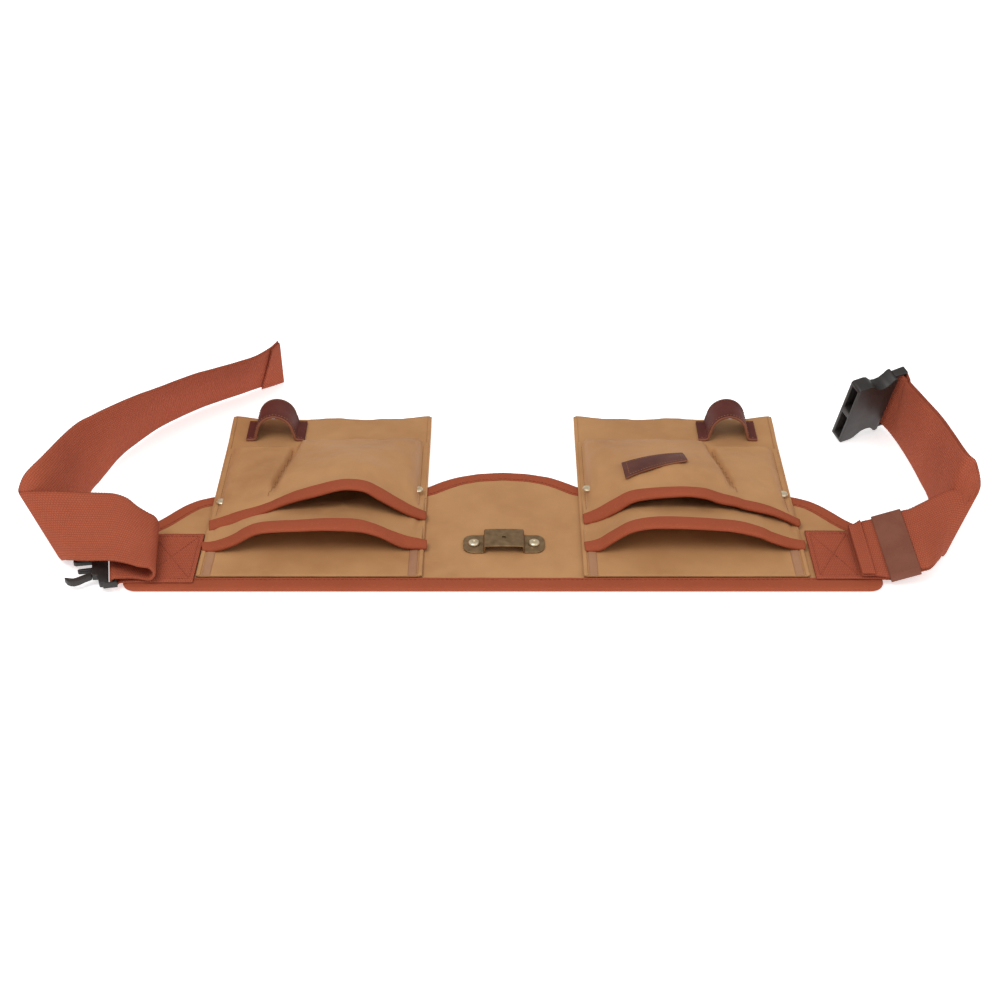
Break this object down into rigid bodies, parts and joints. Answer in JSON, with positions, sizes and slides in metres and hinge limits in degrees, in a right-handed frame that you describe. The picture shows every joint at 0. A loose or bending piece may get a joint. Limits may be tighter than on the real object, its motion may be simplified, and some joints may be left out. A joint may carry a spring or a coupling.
{
  "type": "tool belt",
  "caption": "Canvas waist tool belt with bound pocket pouches, leather tool loops, a brass tape clip and a webbing strap with a side-release buckle.",
  "frame": {"origin": "middle of the waist edge, on the plane the belt rests on when laid flat", "axes": "+X along the waist edge, +Y down the belt from the waist edge to the pocket bottoms, +Z out of the outer face"},
  "size_m": [0.701, 0.3026, 0.0672],
  "materials": {
    "canvas": "waxed cotton canvas, matt",
    "binding": "folded cotton twill tape, terracotta",
    "webbing": "heavy cotton webbing, terracotta",
    "loop_leather": "oxblood leather, raw edges, stitched border",
    "label_leather": "oxblood leather, stitched border",
    "keeper_leather": "brown band, matt",
    "clip_brass": "antique brass, aged",
    "rivet_brass": "pale brass, satin",
    "buckle_plastic": "moulded black acetal"
  },
  "bodies": {
    "centre": {"panel_center": "canvas", "waist_binding_center": "binding", "lower_binding_center": "binding", "tape_clip": "clip_brass", "clip_rivets": "rivet_brass"},
    "left_wing": {"panel_left": "canvas", "waist_binding_left": "binding", "lower_binding_left": "binding", "left_strap_patch": "webbing"},
    "right_wing": {"panel_right": "canvas", "waist_binding_right": "binding", "lower_binding_right": "binding", "right_strap_patch": "webbing"},
    "left_pouch": {"left_pouch_back": "canvas", "left_pouch_tape_inner": "canvas", "left_pouch_tape_outer": "canvas", "left_main_pocket": "canvas", "left_outer_pocket": "canvas", "left_main_lip_binding": "binding", "left_outer_lip_binding": "binding", "left_pouch_rivets": "rivet_brass", "left_tool_loop": "loop_leather"},
    "right_pouch": {"right_pouch_back": "canvas", "right_pouch_tape_inner": "canvas", "right_pouch_tape_outer": "canvas", "right_main_pocket": "canvas", "right_outer_pocket": "canvas", "right_main_lip_binding": "binding", "right_outer_lip_binding": "binding", "right_pouch_rivets": "rivet_brass", "right_tool_loop": "loop_leather", "label_patch": "label_leather"},
    "left_strap": {"left_webbing_run": "webbing"},
    "left_strap_end": {"left_tail": "webbing", "left_tail_hem": "webbing"},
    "plug": {"left_plug": "buckle_plastic"},
    "plug_near_arm": {"left_plug_arm_near": "buckle_plastic"},
    "plug_far_arm": {"left_plug_arm_far": "buckle_plastic"},
    "right_strap": {"right_webbing_inner": "webbing", "right_webbing_outer": "webbing", "right_tail_hem": "webbing"},
    "right_strap_end": {"right_webbing_upper": "webbing"},
    "keeper": {"strap_keeper": "keeper_leather"},
    "receiver_half": {"receiver": "buckle_plastic"}
  },
  "joints": [
    {"name": "left_wing_fold", "type": "hinge", "parent": "centre", "child": "left_wing", "pos_m": [-0.04, 0.06, 0], "axis": [0, -1, 0], "range_deg": [0, 75]},
    {"name": "right_wing_fold", "type": "hinge", "parent": "centre", "child": "right_wing", "pos_m": [0.04, 0.06, 0], "axis": [0, 1, 0], "range_deg": [0, 75]},
    {"name": "left_pouch_lift", "type": "hinge", "parent": "left_wing", "child": "left_pouch", "pos_m": [-0.137, 0.0122, 0.0037], "axis": [1, 0, 0], "range_deg": [0, 35]},
    {"name": "right_pouch_lift", "type": "hinge", "parent": "right_wing", "child": "right_pouch", "pos_m": [0.137, 0.0122, 0.0037], "axis": [1, 0, 0], "range_deg": [0, 35]},
    {"name": "left_strap_swing", "type": "hinge", "parent": "left_wing", "child": "left_strap", "pos_m": [-0.2685, 0.035, 0.0037], "axis": [0, -1, 0], "range_deg": [0, 40]},
    {"name": "left_strap_end_swing", "type": "hinge", "parent": "left_strap", "child": "left_strap_end", "pos_m": [-0.33397, 0.05215, 0.02099], "axis": [-0.5535, 0.5502, 0.6252], "range_deg": [-12, 0]},
    {"name": "plug_swing", "type": "hinge", "parent": "left_strap", "child": "plug", "pos_m": [-0.2772, 0.032, 0.0069], "axis": [-0.1903, 0.9817, 0], "range_deg": [-5, 5]},
    {"name": "plug_near_arm_squeeze", "type": "hinge", "parent": "plug", "child": "plug_near_arm", "pos_m": [-0.28941, 0.00987, 0.0069], "axis": [0, 0, -1], "range_deg": [0, 4]},
    {"name": "plug_far_arm_squeeze", "type": "hinge", "parent": "plug", "child": "plug_far_arm", "pos_m": [-0.2968, 0.04796, 0.0069], "axis": [0, 0, -1], "range_deg": [-4, 0]},
    {"name": "right_strap_swing", "type": "hinge", "parent": "right_wing", "child": "right_strap", "pos_m": [0.2685, 0.039, 0.0037], "axis": [0, 1, 0], "range_deg": [0, 40]},
    {"name": "right_strap_end_swing", "type": "hinge", "parent": "right_strap", "child": "right_strap_end", "pos_m": [0.33481, 0.0616, 0.01763], "axis": [0.5191, 0.7033, 0.4856], "range_deg": [-18, 0]},
    {"name": "keeper_slide", "type": "slide", "parent": "right_strap", "child": "keeper", "axis": [0.9485, 0.0133, 0.3165], "range_m": [0, 0.005]},
    {"name": "receiver_swing", "type": "hinge", "parent": "right_strap_end", "child": "receiver_half", "pos_m": [0.309, 0.21424, 0.03463], "axis": [0.1001, -0.342, 0.9343], "range_deg": [-15, 20]}
  ]
}
